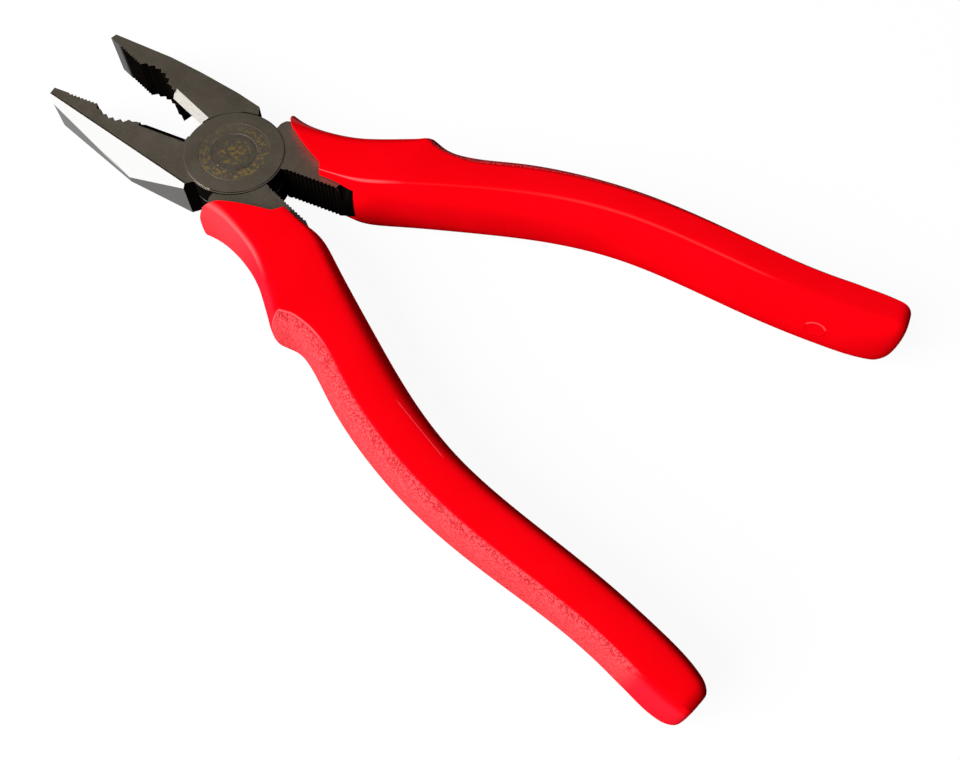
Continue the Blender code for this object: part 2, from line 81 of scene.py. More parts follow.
# Each half is drawn in its closing frame: the pivot is the origin, the jaw goes to +X and +Y, and the handle
# to -X and -Y. Reach is the distance from the pivot along the handle, behind is the distance behind the
# joint disc, drop is the distance from the closing plane, and height is from the middle of the head.
# The lines of a sleeve are points of (behind, size).
OUTER_EDGE = (
    (-6.0, 17.7), (-2.0, 16.2), (4.4, 15.4), (15.8, 17.4), (22.6, 20.4), (26.4, 22.3), (29.2, 23.3),
    (33.4, 21.9), (38.8, 21.9), (49.9, 25.05), (63.0, 27.65), (78.8, 28.7), (96.9, 27.3), (114.8, 24.65),
    (130.0, 23.65), (136.5, 23.85), (141.0, 23.75), (147.0, 22.3),
)
# The outer edge of the flat face is further in on the front of the guard than on its back
FRONT_CREASE = (
    (-6.0, 12.2), (-2.0, 11.7), (4.0, 12.0), (9.0, 12.6), (13.5, 13.4), (18.0, 14.9), (21.5, 16.2),
    (24.1, 17.3), (26.9, 18.7), (28.9, 19.8), (29.8, 19.5), (31.1, 18.7), (33.7, 18.0), (36.8, 17.7),
    (39.7, 17.75), (42.7, 18.15), (48.6, 19.8), (54.3, 21.5), (60.0, 22.8), (70.4, 24.4), (81.0, 25.0),
    (94.2, 24.5), (110.0, 22.8), (126.4, 21.4), (137.0, 21.4), (147.0, 20.6),
)
BACK_CREASE = (
    (-6.0, 12.2), (-2.0, 11.7), (4.0, 12.2), (9.0, 13.2), (11.4, 14.0), (15.7, 15.75), (19.2, 17.9),
    (22.6, 19.8), (25.5, 21.3), (27.2, 21.2), (29.0, 19.6), (31.5, 18.8), (35.4, 18.3), (39.2, 18.2),
    (42.7, 18.5), (48.6, 20.1), (54.3, 21.7), (60.0, 22.9), (70.4, 24.4), (81.0, 25.0), (94.2, 24.5),
    (110.0, 22.8), (126.4, 21.4), (137.0, 21.4), (147.0, 20.6),
)
INNER_CREASE = (
    (-6.0, 2.0), (9.0, 2.0), (13.8, 2.05), (18.5, 2.35), (24.5, 3.5), (38.8, 7.45), (56.0, 12.6),
    (78.8, 16.4), (96.9, 15.7), (114.8, 13.9), (133.0, 13.2), (141.5, 13.8), (147.0, 15.2),
)
INNER_BULGE = (
    (-6.0, 0.2), (10.0, 0.2), (14.0, 0.6), (18.5, 1.95), (26.0, 2.0), (48.0, 1.8), (78.8, 1.5), (114.8, 1.2),
    (147.0, 1.2),
)
INNER_ROUND = ((-6.0, 0.6), (14.0, 0.6), (30.0, 2.5), (78.8, 3.0), (147.0, 2.4))
TANG_EDGE = (
    (-6.0, 14.2), (4.4, 12.2), (15.8, 13.8), (26.0, 15.6), (38.8, 16.8), (49.9, 19.5), (63.0, 22.6),
    (78.8, 24.3), (96.9, 23.4), (114.8, 21.5), (147.0, 20.0),
)
# Where these lines start
LINE_FRONT = -6.0

# Mouth of the sleeve as points of (drop, behind), and the first reach at which the sleeve goes all around
MOUTH_LINE = (
    (1.5, 9.4), (2.8, 9.3), (5.1, 8.0), (7.0, 4.6), (9.1, 1.2), (12.2, -3.0), (14.6, -4.5), (16.8, -4.4),
    (18.6, -2.8), (21.0, 0.0),
)
MOUTH_STEP = 0.04
LIP_REACH = 30.5

# Section of the sleeve. A fade is a pair of places between which something comes or goes.
SLEEVE_GAP = 0.3
MOUTH_WALL = 1.7
GRIP_WALL = 2.5
WALL_FADE = (0.0, 28.0)
FACE_TILT = 0.1
FACE_CROWN = 0.3
OUTER_BOW = 3.5
INNER_POWER = 2.5
SEAM_RISE = 0.05
LIP_SOFTNESS = 0.6
LIP_CREASE_SHIFT = 0.58
LIP_SOFT_FADE = (20.0, 28.0)

# Grained panel on the outer side: a little raised, with an arched rim at its front
PANEL_RISE = 0.12
PANEL_LEAN = 0.5
PANEL_LIFT = 0.8
PANEL_FADE_IN = (29.0, 29.7)
PANEL_FADE_OUT = (131.0, 136.0)
PANEL_EDGE_FROM = 0.9
PANEL_EDGE_SHIFT = 0.04
PANEL_EDGE_FADE = (40.0, 48.0)
PANEL_EDGE_TO = 0.97
ARCH_RISE = 0.1
ARCH_FADE_IN = (27.0, 29.0)
ARCH_FADE_OUT = (39.0, 58.0)

# Values that the sleeve's mesh carries for its materials, among them where the painted highlight along the
# inner edge lies
SIDE_LEAST = 0.02
SIDE_FADE = (0.0, 0.35)
GRAINED_LEAST = 0.01
# Where the painted highlight along the inner edge lies: strong near the lip, fainter along most of the grip
INNER_HIGHLIGHT_COLUMN = 1
LIP_HIGHLIGHT_FADE = (20.0, 34.0)
GRIP_HIGHLIGHT = 0.25
GRIP_HIGHLIGHT_GAIN = 0.15
GRIP_HIGHLIGHT_GROWS = (45.0, 75.0)
GRIP_HIGHLIGHT_FADE = (108.0, 124.0)

# Room for the tang, and the rounded end of the sleeve
TANG_END = 144.1
TANG_TAPER = 0.0184
TANG_TAPER_FROM = 33.0
SLEEVE_END = 158.02
END_ROUND = 3.2
END_CORNER = 1.1

# Columns and rows of the sleeve's mesh
SIDE_SHARES = (0.0, 0.04, 0.14, 0.27, 0.4, 0.52, 0.63, 0.72, 0.8, 0.86, 0.905, 0.94, 0.965, 0.985)
FACE_SHARES = (0.0, 0.06, 0.14, 0.26, 0.4, 0.55, 0.7, 0.85)
ROUND_STEPS = 6
INNER_EDGE = len(SIDE_SHARES) + len(FACE_SHARES) + ROUND_STEPS
MOUTH_ROWS = 26
MOUTH_ROW_POWER = 1.5
FINE_ROWS = ((26.0, 34.0), (132.0, 134.5))
FINE_STEP = 0.25
WIDE_STEP = 1.0
LAST_STEP = 0.6
END_ROWS = 9
ROOM_STARTS = (0.0, 1.5, 4.0)
ROOM_FROM = 40.0
ROOM_ROWS = 16
SHARP_ANGLE = math.radians(38.0)

# Steel: colours
SATIN = (0.355, 0.303, 0.236, 1.0)
SATIN_DARK = (0.255, 0.216, 0.165, 1.0)
# Painted shade: upright steel walls take this darker grey in place of the faces' satin
SIDE_SHADE_GREY = (0.13, 0.126, 0.12, 1.0)
POLISHED = (0.95, 0.95, 0.935, 1.0)
GROUND_EDGE = (0.42, 0.398, 0.372, 1.0)
GROUND_SPECK = (0.34, 0.31, 0.28, 1.0)
# Matte tone for the disc's proud step wall: painted light, as lit as the face beside it
DISC_EDGE = (0.14, 0.12, 0.096, 1.0)
# Painted shade on the rounded edges at the rivet's seam, toning down their highlight
SEAM_SHADE = (0.20, 0.172, 0.135, 1.0)
EDGE_SHADE = (0.05, 0.042, 0.031, 1.0)
# Black of the blacked faces, used as well for painted shade on the joint's wall below the face
BLACKED_AND_SHADE = (0.0045, 0.0034, 0.003, 1.0)
STRAW = (0.72, 0.48, 0.15, 1.0)

# Steel: how far a surface has to face one way to count as a region, from none of it to all of it
BEVEL_FACING = (0.2266, 0.9296, 0.2907)
BEVEL_MATCH = (0.984, 0.993)
HEEL_FACING = (-0.62, 0.785, 0.0)
HEEL_MATCH = (0.86, 0.95)
CUTTER_FACING = (0.0, -0.667, -0.745)
CUTTER_MATCH = (0.975, 0.99)
FLAT_MATCH = (0.35, 0.6)
LEVEL_MATCH = (0.9, 0.98)
GRIP_MATCH = (-0.15, -0.35)
BACK_WALL_MATCH = (-0.75, -0.9)
TIP_WALL_MATCH = (0.7, 0.85)

# Steel: places in the closing frame at which a region fades in or out
JAW_FADE = (2.0, 4.0)
GRIP_FADE = (44.5, 46.5)
GRIP_TIP = 0.4
LAP_WALL_FADE = (12.4, 12.6)
BELOW_FACE_FADE = (FACE_HALF - 0.25, FACE_HALF - 0.1)
PROUD_FADE = (FACE_HALF - 0.25, FACE_HALF - 0.15)
DISC_FADE = (JOINT_RADIUS - 0.3, JOINT_RADIUS + 0.1)
DISC_EDGE_BELT = (11.6, 12.5, 0.1)
DISC_EDGE_FADE = (8.0, 9.5)
RIVET_SEAM_FADE = (5.6, 5.9)
BEVEL_LINE_FADE = (14.27, 14.52)
TIP_WALL_FADE = (25.0, 35.0)
# Band of painted shade along the bottom of the jaw's back near the tip, growing taller towards the tip
SHADE_BAND_FROM = 23.5
SHADE_BAND_RISE = 0.30
SHADE_BAND_FADE = (-FACE_HALF - 0.2, -FACE_HALF + 0.7)
SHADE_BAND_SHINE = 0.02
GROOVE_RADIUS = 8.28
GROOVE_FADE = (0.05, 0.16)

# Steel: noise as (scale, detail, roughness), and the weights with which it shows
STEEL_CLOUDS = (0.16, 4.0, 0.6)
STEEL_GRAIN = (2.6, 4.0, 0.7)
STEEL_LINES = (1.0, 3.0, 0.6)
STEEL_LINES_STRETCH = (0.25, 5.0, 5.0)
STEEL_SPECKS = (2.2, 3.0, 0.7)
SPECK_FADE = (0.34, 0.5)
CLOUD_TONE = 0.75
GRAIN_TONE = 0.45
TONE_FADE = (0.35, 0.85)
STEEL_ROUGHNESS = 0.37
GRAIN_ROUGHNESS = 0.14
LINE_ROUGHNESS = 0.06
POLISH_ROUGHNESS = -0.30
GROUND_ROUGHNESS = 0.24
GRAIN_RELIEF = 0.010
LINE_RELIEF = 0.010
GROOVE_RELIEF = 0.04
STAIN_RELIEF = -0.02
STEEL_BUMP = 0.55

# Straw-coloured mottling on the disc and the rivet
MOTTLE = (1.0, 4.0, 0.65)
MOTTLE_FADE = (0.49, 0.6)
STAIN_BELT = (5.6, 8.0, 0.5)
STAIN_SHARE = 0.9
STAIN_TOWARD = (-0.8, 0.6, 0.0)
STAIN_FADE = (-6.0, 4.0)
STAIN_LEAST = 0.45
RIVET_STAIN_FADE = (3.4, 4.2)
RIVET_STAIN_SHARE = 0.85

# Rivet: noise and weights
RIVET_RINGS = (3.2, 2.0, 0.6)
RIVET_GRAIN = (2.4, 4.0, 0.7)
RIVET_CLOUDS = (0.35, 4.0, 0.6)
RIVET_CLOUD_TONE = 0.7
RIVET_GRAIN_TONE = 0.4
RIVET_TONE_FADE = (0.35, 0.8)
RIVET_ROUGHNESS = 0.39
RING_RELIEF = 0.018

# Vinyl: colours
RED = (0.90, 0.0008, 0.0050, 1.0)
RED_DEEP = (0.86, 0.0006, 0.0040, 1.0)
# Outer side: a little paler than the face, partly its own colour and partly painted sheen
RED_SIDE = (0.90, 0.010, 0.024, 1.0)
# Painted sheen: the outer side is paler still at the lip
RED_LIP_SHEEN = (0.90, 0.036, 0.048, 1.0)
# Pale pink of the grained panel, partly its own colour and partly painted sheen
RED_PANEL = (0.91, 0.064, 0.074, 1.0)
# Painted shade in the grain's crevices and in the valley beside the panel's arched rim
RED_CREVICE_SHADE = (0.42, 0.012, 0.020, 1.0)
# Pale red of the scratch, also used for the painted highlights along the inner edge, on the mould mark,
# beside the guard and on the panel's arched rim
RED_SCRATCH_AND_HIGHLIGHT = (0.93, 0.13, 0.14, 1.0)

# Vinyl: noise as (scale, detail, roughness), and the weights with which it shows
VINYL_CLOUDS = (0.06, 3.0, 0.5)
VINYL_FINE = (1.7, 3.0, 0.6)
VINYL_SCUFFS = (1.0, 4.0, 0.6)
VINYL_SCUFFS_STRETCH = (0.22, 1.6, 1.6)
RED_FADE = (0.35, 0.7)
FINE_RELIEF = 0.006
CLOUD_RELIEF = 0.05
SMOOTH_ROUGHNESS = 0.36
SCUFF_ROUGHNESS = 0.12
VINYL_BUMP = 1.0

# Scratch along the inner edge of one face: starts at (behind, drop)
SCRATCH_FROM = (62.3, 16.73)
SCRATCH_SLOPE = 0.117
SCRATCH_BELT = (1.0, 16.0, 1.0)
SCRATCH_FADE = (0.05, 0.16)
SCRATCH_HEIGHT = (-6.0, -7.0)
SCRATCH_SHARE = 0.35
SCRATCH_RELIEF = 0.03

# Round mark of the mould on the inner side, with a painted highlight on the lit part of its rim
MARK_BEHIND = 127.9
MARK_RADIUS = 2.4
MARK_RIM_FADE = (0.1, 0.32)
MARK_DROP_FADE = (15.0, 16.0)
MARK_LIT_FADE = (0.6, 1.4)
MARK_SHARE = 0.5
MARK_RELIEF = 0.07

# Painted highlight along the inner edge of the face
INNER_HIGHLIGHT_FADE = (-0.1, -0.9)
INNER_HIGHLIGHT_HEIGHT_FADE = (0.0, 1.0)
INNER_HIGHLIGHT_SHARE = 0.7

# Leather grain: crevices where a noise crosses its middle value, broken up by another noise
WORMS = (1.1, 1.0, 0.5)
WORM_MIDDLE = 0.5
WORM_FADE = (0.02, 0.08)
BREAKS = (1.2, 1.0, 0.5)
BREAK_FADE = (0.30, 0.42)
CREVICE_SIDE_FADE = (0.5, 1.0)
CREVICE_LEAST = 0.6
CREVICE_SHADE_SHARE = 0.85
CREVICE_RELIEF = -0.14
PEBBLE_RELIEF = 0.05
GRAINED_ROUGHNESS = 0.38
FINE_ROUGHNESS = 0.10
PANEL_ROUGHNESS = 0.08

# Outer side: paler at the lip with a painted sheen, a painted highlight band beside the guard, and along the
# panel's arched rim a painted highlight with painted shade beside it
LIP_SHEEN_FADE = (2.0, 20.0)
SIDE_TONE_FADE = (0.05, 0.8)
GUARD_HIGHLIGHT_BELT = (0.3, 0.5, 0.22)
GUARD_HIGHLIGHT_FADE = (12.0, 22.0)
GUARD_HIGHLIGHT_SHARE = 0.9
ARCH_SHADE_FADE = (38.0, 46.0)
ARCH_RIM_BELT = (0.15, 0.55, 0.12)
ARCH_HIGHLIGHT_SHARE = 0.7
ARCH_VALLEY_BELT = (0.75, 0.94, 0.05)
ARCH_VALLEY_SHARE = 0.6
PANEL_SHOWN_FADE = (0.0, 0.12)

# Camera, solved from the photograph's perspective
CAMERA_PLACE = (-0.127731, 0.095960, 0.202348)
CAMERA_TURN = (25.7149, -1.6581, -146.1021)
CAMERA_LENS = 37.5
CAMERA_NEAR = 0.01
SENSOR_WIDTH = 36.0

# Light
WORLD_GREY = 0.06
KEY_PLACE = (0.71, 1.33, 1.14)
KEY_TARGET = (-0.05, 0.0, 0.0)
KEY_SIZE = 1.4
KEY_POWER = 73.0

# Floor with an upturned rim far away, as (radius, rise)
FLOOR_RINGS = ((0.6, 0.0), (8.0, 0.0), (9.0, 0.15), (9.7, 0.7), (10.0, 2.2))
FLOOR_SIDES = 48
FLOOR_GLOW = 0.94
FLOOR_SHARE = 0.06
FLOOR_BOUNCE = 0.18


def smooth_line(points):
    """Natural cubic curve through (place, value) points, as a function of the place."""
    places = np.array([place for place, value in points])
    values = np.array([value for place, value in points])
    steps = np.diff(places)
    slopes = np.diff(values) / steps
    count = len(points)
    system = np.eye(count)
    right = np.zeros(count)
    for i in range(1, count - 1):
        system[i, i - 1 : i + 2] = (steps[i - 1], 2 * (steps[i - 1] + steps[i]), steps[i])
        right[i] = 6 * (slopes[i] - slopes[i - 1])
    bends = np.linalg.solve(system, right)

    def value_at(place):
        i = int(np.clip(np.searchsorted(places, place) - 1, 0, count - 2))
        ahead = places[i + 1] - place
        behind = place - places[i]
        step = steps[i]
        curved = (bends[i] * ahead**3 + bends[i + 1] * behind**3) / (6 * step)
        start = (values[i] / step - bends[i] * step / 6) * ahead
        end = (values[i + 1] / step - bends[i + 1] * step / 6) * behind
        return float(curved + start + end)

    return value_at


def from_pivot(points):
    """Curve through (behind, size) points, as a function of the reach."""
    line = smooth_line(points)
    return lambda reach: line(reach - JOINT_RADIUS)


outer_edge = from_pivot(OUTER_EDGE)
front_crease = from_pivot(FRONT_CREASE)
back_crease = from_pivot(BACK_CREASE)
inner_crease = from_pivot(INNER_CREASE)
inner_bulge = from_pivot(INNER_BULGE)
inner_round = from_pivot(INNER_ROUND)
tang_edge = from_pivot(TANG_EDGE)


def blend_in(value, start, end):
    """Smooth step from 0 to 1 while the value goes from start to end."""
    share = min(1.0, max(0.0, (value - start) / (end - start)))
    return share * share * (3 - 2 * share)


def fade(value, fade_in, fade_out):
    """1 between two fades, and 0 before and after them."""
    return blend_in(value, *fade_in) * (1 - blend_in(value, *fade_out))


def mouth_reach(drop):
    """Reach of the mouth's edge at a drop."""
    drops = [place for place, behind in MOUTH_LINE]
    behinds = [behind for place, behind in MOUTH_LINE]
    return JOINT_RADIUS + float(np.interp(drop, drops, behinds))


def face_height(reach):
    """Height of the flat face at its outer edge."""
    grown = blend_in(reach - JOINT_RADIUS, *WALL_FADE)
    return FACE_HALF + SLEEVE_GAP + MOUTH_WALL + (GRIP_WALL - MOUTH_WALL) * grown


def outer_side(behind, edge, crease, top, soft):
    """Bowed outer side from the outer seam up to the crease, with the raised panel on it."""
    panel = fade(behind, PANEL_FADE_IN, PANEL_FADE_OUT)
    arch = fade(behind, ARCH_FADE_IN, ARCH_FADE_OUT)
    panel_edge = PANEL_EDGE_FROM + PANEL_EDGE_SHIFT * blend_in(behind, *PANEL_EDGE_FADE)
    points = []
    for share in SIDE_SHARES:
        inside = panel * (1 - blend_in(share, panel_edge, PANEL_EDGE_TO))
        rise = PANEL_RISE * inside
        if share == SIDE_SHARES[0]:
            rise += SEAM_RISE
        if share == SIDE_SHARES[-1]:
            rise += ARCH_RISE * arch
        lean = share ** (OUTER_BOW - 1)
        bow = (1 - share**OUTER_BOW) ** (1 / (1 + LIP_SOFTNESS * soft))
        drop = crease + (edge - crease) * bow + rise * (1 - PANEL_LEAN * lean)
        height = top * share + PANEL_LIFT * rise * lean
        down = SIDE_LEAST + (1 - SIDE_LEAST) * blend_in(1 - share, *SIDE_FADE)
        points.append((drop, height, down, inside))
    return points


def flat_face(crease, start, top):
    """Face from the crease to the start of the inner side, tilted and crowned a little."""
    points = []
    for share in FACE_SHARES:
        drop = crease + (start - crease) * share
        height = top + FACE_TILT * share + FACE_CROWN * share * (1 - share)
        points.append((drop, height, 0.0, 0.0))
    return points


def inner_side(behind, start, depth, top):
    """Rounded inner side down to the inner seam, with a painted highlight line along its upper edge."""
    shoulder = min(1.0, (FACE_HALF + SLEEVE_GAP) / top)
    turn = math.acos(shoulder ** (INNER_POWER / 2))
    turns = [turn * i / ROUND_STEPS for i in range(ROUND_STEPS + 1)]
    turns += [turn + (math.pi / 2 - turn) * i / ROUND_STEPS for i in range(1, ROUND_STEPS + 1)]
    near_lip = 1 - blend_in(behind, *LIP_HIGHLIGHT_FADE)
    along_grip = GRIP_HIGHLIGHT + GRIP_HIGHLIGHT_GAIN * blend_in(behind, *GRIP_HIGHLIGHT_GROWS)
    painted_highlight = max(near_lip, along_grip * (1 - blend_in(behind, *GRIP_HIGHLIGHT_FADE)))
    points = []
    for i, angle in enumerate(turns):
        drop = start - depth * math.sin(angle) ** (2 / INNER_POWER)
        height = top * max(0.0, math.cos(angle)) ** (2 / INNER_POWER)
        points.append((drop, height, -painted_highlight * (i == INNER_HIGHLIGHT_COLUMN), 0.0))
    points[-1] = (points[-1][0] - SEAM_RISE, 0.0, 0.0, 0.0)
    return points


def section(reach, crease_line, inset=0.0, fall=0.0):
    """Half of the sleeve's section from the outer seam over one face to the inner seam.

    Its sides are brought in by the inset, and its faces lowered by the fall. Each point is (drop, height,
    how far down the outer side, or below 0 along the painted highlight of the inner edge, share of the
    grained panel).
    """
    behind = reach - JOINT_RADIUS
    soft = 1 - blend_in(behind, *LIP_SOFT_FADE)
    edge = outer_edge(reach) - PANEL_RISE - SEAM_RISE - inset
    crease = crease_line(reach) - inset
    crease -= LIP_SOFTNESS * LIP_CREASE_SHIFT * soft * max(0.0, edge - crease)
    top = face_height(reach) - fall
    start = inner_crease(reach) + inner_round(reach) + inset
    depth = inner_round(reach) + inner_bulge(reach)
    points = outer_side(behind, edge, crease, top, soft)
    points += flat_face(crease, start, top)
    points += inner_side(behind, start, depth, top + FACE_TILT)
    return points


def ring(reach, creases, inset=0.0, fall=0.0):
    """Whole section: the upper half, then the lower half back to the outer seam."""
    upper = section(reach, creases[0], inset, fall)
    lower = section(reach, creases[1], inset, fall)
    return upper + [(drop, -height, down, panel) for drop, height, down, panel in reversed(lower[1:-1])]


def cavity(reach, drop, height):
    """Nearest point of the room that the tang takes inside the sleeve."""
    taper = max(0.0, reach - TANG_TAPER_FROM) * TANG_TAPER
    half = FACE_HALF + SLEEVE_GAP - taper
    low = inner_crease(reach) + SLEEVE_GAP
    high = tang_edge(reach) + SLEEVE_GAP
    if reach < LIP_REACH:
        low = min(low, drop)
    return min(max(drop, low), high), min(max(height, -half), half)


def mouth_start(column, crease_line):
    """Where a column of the skin starts, going from the lip forward until it meets the mouth."""
    reach = LIP_REACH
    while reach > JOINT_RADIUS + LINE_FRONT:
        drop = section(reach, crease_line)[column][0]
        if reach <= mouth_reach(drop):
            break
        reach -= MOUTH_STEP
    return reach


def sleeve_reaches():
    """Reaches of the whole rings from the lip to the end: close together where the panel starts and ends."""
    reach = LIP_REACH
    reaches = [reach]
    while reach < SLEEVE_END - END_ROUND - LAST_STEP:
        behind = reach - JOINT_RADIUS
        fine = any(start < behind < end for start, end in FINE_ROWS)
        reach += FINE_STEP if fine else WIDE_STEP
        reaches.append(reach)
    return reaches


class SleeveWork:
    """A sleeve in the making, as rows of vertices.

    It is worked out in the closing frame, and keeps its place there, in millimetres, for the materials.
    In front of the lip the sleeve is open towards the closing plane, so its rows there have only the front
    columns, from one inner edge over the outer side to the other.
    """

    def __init__(self, matrix, creases):
        self.matrix = matrix
        self.creases = creases
        self.work = bmesh.new()
        self.closing = self.work.verts.layers.float_vector.new("closing")
        self.outer = self.work.verts.layers.float.new("outer")
        self.panel = self.work.verts.layers.float.new("panel")
        self.columns = len(ring(LIP_REACH, creases))
        self.edges = (INNER_EDGE, self.columns - INNER_EDGE)
        self.front = list(range(self.edges[1], self.columns)) + list(range(INNER_EDGE + 1))
        self.inner = list(range(INNER_EDGE, self.edges[1] + 1))

    def place(self, reach, drop, height, outer=0.0, panel=0.0):
        spot = Vector((-reach, -drop, height))
        vertex = self.work.verts.new(self.matrix @ (spot * MM))
        vertex[self.closing] = spot
        vertex[self.outer] = outer
        vertex[self.panel] = panel
        return vertex

    def skin(self, near, far, closed=False):
        """Faces between two rows, with a corner left out where the rows share a vertex."""
        count = len(near)
        for i in range(count if closed else count - 1):
            j = (i + 1) % count
            corners = list(dict.fromkeys((near[i], near[j], far[j], far[i])))
            if len(corners) > 2:
                self.work.faces.new(corners)

    def mouth_starts(self):
        """Reach at which each front column starts."""
        starts = {}
        for i in range(INNER_EDGE + 1):
            starts[(self.columns - i) % self.columns] = mouth_start(i, self.creases[1])
            starts[i] = mouth_start(i, self.creases[0])
        return starts

    def mouth_rows(self):
        """Rows of the skin and of the room inside it, from the mouth to the lip."""
        starts = self.mouth_starts()
        outer_rows = []
        inner_rows = []
        for row in range(MOUTH_ROWS):
            share = (row / MOUTH_ROWS) ** MOUTH_ROW_POWER
            outer_row = []
            inner_row = []
            for column in self.front:
                reach = starts[column] + (LIP_REACH - starts[column]) * share
                drop, height, outer, panel = ring(reach, self.creases)[column]
                vertex = self.place(reach, drop, height, outer, panel)
                outer_row.append(vertex)
                if column not in self.edges:
                    vertex = self.place(reach, *cavity(reach, drop, height))
                inner_row.append(vertex)
            outer_rows.append(outer_row)
            inner_rows.append(inner_row)
        return outer_rows, inner_rows

    def whole_rows(self):
        """Rows of the skin all around, from the lip to the rounded end."""
        rows = []
        for reach in sleeve_reaches():
            rows.append([self.place(reach, *point) for point in ring(reach, self.creases)])
        for i in range(1, END_ROWS + 1):
            turn = math.pi / 2 * i / END_ROWS
            reach = SLEEVE_END - END_ROUND * (1 - math.sin(turn))
            share = 1 - math.cos(turn)
            points = ring(reach, self.creases, END_CORNER * share, END_ROUND * share)
            rows.append([self.place(reach, *point) for point in points])
        return rows

    def room_rows(self):
        """Rows of the room for the tang, from the lip to the tang's end."""
        reaches = [LIP_REACH + start for start in ROOM_STARTS]
        reaches += list(np.linspace(ROOM_FROM, TANG_END + SLEEVE_GAP, ROOM_ROWS))
        rows = []
        for reach in reaches:
            points = ring(reach, self.creases)
            rows.append([self.place(reach, *cavity(reach, point[0], point[1])) for point in points])
        return rows

    def join(self, outer_rows, inner_rows, whole_rows, room_rows):
        """Closes the skin and the room into one solid."""
        for column in (self.front[0], self.front[-1]):
            room_rows[0][column] = whole_rows[0][column]
        first = [whole_rows[0][column] for column in self.front]
        first_room = [room_rows[0][column] for column in self.front]
        for near, far in zip(outer_rows, outer_rows[1:] + [first]):
            self.skin(near, far)
        for near, far in zip(inner_rows, inner_rows[1:] + [first_room]):
            self.skin(far, near)
        self.skin(inner_rows[0], outer_rows[0])
        lip = [whole_rows[0][column] for column in self.inner]
        lip_room = [room_rows[0][column] for column in self.inner]
        self.skin(lip_room, lip)
        for near, far in zip(whole_rows, whole_rows[1:]):
            self.skin(near, far, closed=True)
        for near, far in zip(room_rows, room_rows[1:]):
            self.skin(far, near, closed=True)
        self.work.faces.new(whole_rows[-1])
        self.work.faces.new(list(reversed(room_rows[-1])))

    def clean(self, close_rows):
        """Drops loose vertices, and merges those of the close rows that lie in one place."""
        loose = [vertex for vertex in self.work.verts if not vertex.link_faces]
        bmesh.ops.delete(self.work, geom=loose, context="VERTS")
        meeting = dict.fromkeys(vertex for row in close_rows for vertex in row if vertex.is_valid)
        bmesh.ops.remove_doubles(self.work, verts=list(meeting), dist=SAME_PLACE * MM)
        bmesh.ops.recalc_face_normals(self.work, faces=self.work.faces)

    def to_mesh(self, name):
        """The outer side gets the second material, and the rest the first."""
        for face in self.work.faces:
            outside = all(vertex[self.outer] > GRAINED_LEAST for vertex in face.verts)
            face.material_index = int(outside)
        mesh = bpy.data.meshes.new(name)
        self.work.to_mesh(mesh)
        self.work.free()
        mesh.shade_smooth()
        mesh.set_sharp_from_angle(angle=SHARP_ANGLE)
        return mesh


def sleeve_mesh(name, matrix, creases):
    """Skin of the sleeve, with the room for the tang inside it."""
    sleeve = SleeveWork(matrix, creases)
    outer_rows, inner_rows = sleeve.mouth_rows()
    whole_rows = sleeve.whole_rows()
    room_rows = sleeve.room_rows()
    sleeve.join(outer_rows, inner_rows, whole_rows, room_rows)
    sleeve.clean(inner_rows + room_rows + whole_rows[-END_ROWS:])
    return sleeve.to_mesh(name)


def fill_inputs(tree, node, inputs):
    """An input takes a value or another node's socket."""
    for key, value in inputs.items():
        if isinstance(value, bpy.types.NodeSocket):
            tree.links.new(value, node.inputs[key])
        else:
            node.inputs[key].default_value = value


def put(tree, kind, settings=None, inputs=None):
    """Adds a node with its settings and inputs."""
    node = tree.nodes.new(kind)
    for key, value in (settings or {}).items():
        setattr(node, key, value)
    fill_inputs(tree, node, inputs or {})
    return node


def sums(tree, operation, first, second=0.0):
    """Result of a sum on one or two values."""
    return put(tree, "ShaderNodeMath", {"operation": operation}, {0: first, 1: second}).outputs[0]


def product(tree, *values):
    result = values[0]
    for value in values[1:]:
        result = sums(tree, "MULTIPLY", result, value)
    return result


def highest(tree, *values):
    result = values[0]
    for value in values[1:]:
        result = sums(tree, "MAXIMUM", result, value)
    return result


def add_up(tree, start, *parts):
    """The start value with (value, weight) parts added to it."""
    result = start
    for value, weight in parts:
        result = sums(tree, "ADD", result, product(tree, value, weight))
    return result


def without(tree, share):
    return sums(tree, "SUBTRACT", 1.0, share)


def magnitude(tree, value):
    return sums(tree, "ABSOLUTE", value)


def along(tree, vector, direction):
    """How far a vector goes in a direction."""
    inputs = {0: vector, 1: direction}
    return put(tree, "ShaderNodeVectorMath", {"operation": "DOT_PRODUCT"}, inputs).outputs["Value"]


def distance(tree, x, y):
    """Distance of the point (x, y) from the origin."""
    flat = put(tree, "ShaderNodeCombineXYZ", None, {0: x, 1: y}).outputs[0]
    return put(tree, "ShaderNodeVectorMath", {"operation": "LENGTH"}, {0: flat}).outputs["Value"]


def split(tree, vector):
    return put(tree, "ShaderNodeSeparateXYZ", None, {0: vector}).outputs


def between(tree, value, limits, start=0.0, end=1.0):
    """Smooth step from start to end while the value goes from the first limit to the second."""
    inputs = {"Value": value, "From Min": limits[0], "From Max": limits[1], "To Min": start, "To Max": end}
    return put(tree, "ShaderNodeMapRange", {"interpolation_type": "SMOOTHSTEP"}, inputs).outputs[0]


def before(tree, value, limits):
    """1 below both limits, and 0 above them."""
    return between(tree, value, limits, 1.0, 0.0)


def belt(tree, value, limits):
    """1 from the first limit to the second, fading out over the third on each side of both."""
    start, end, soft = limits
    inner = between(tree, value, (start - soft, start + soft))
    outer = before(tree, value, (end - soft, end + soft))
    return product(tree, inner, outer)


def blend(tree, share, first, second):
    inputs = {0: share, 6: first, 7: second}
    return put(tree, "ShaderNodeMix", {"data_type": "RGBA"}, inputs).outputs[2]


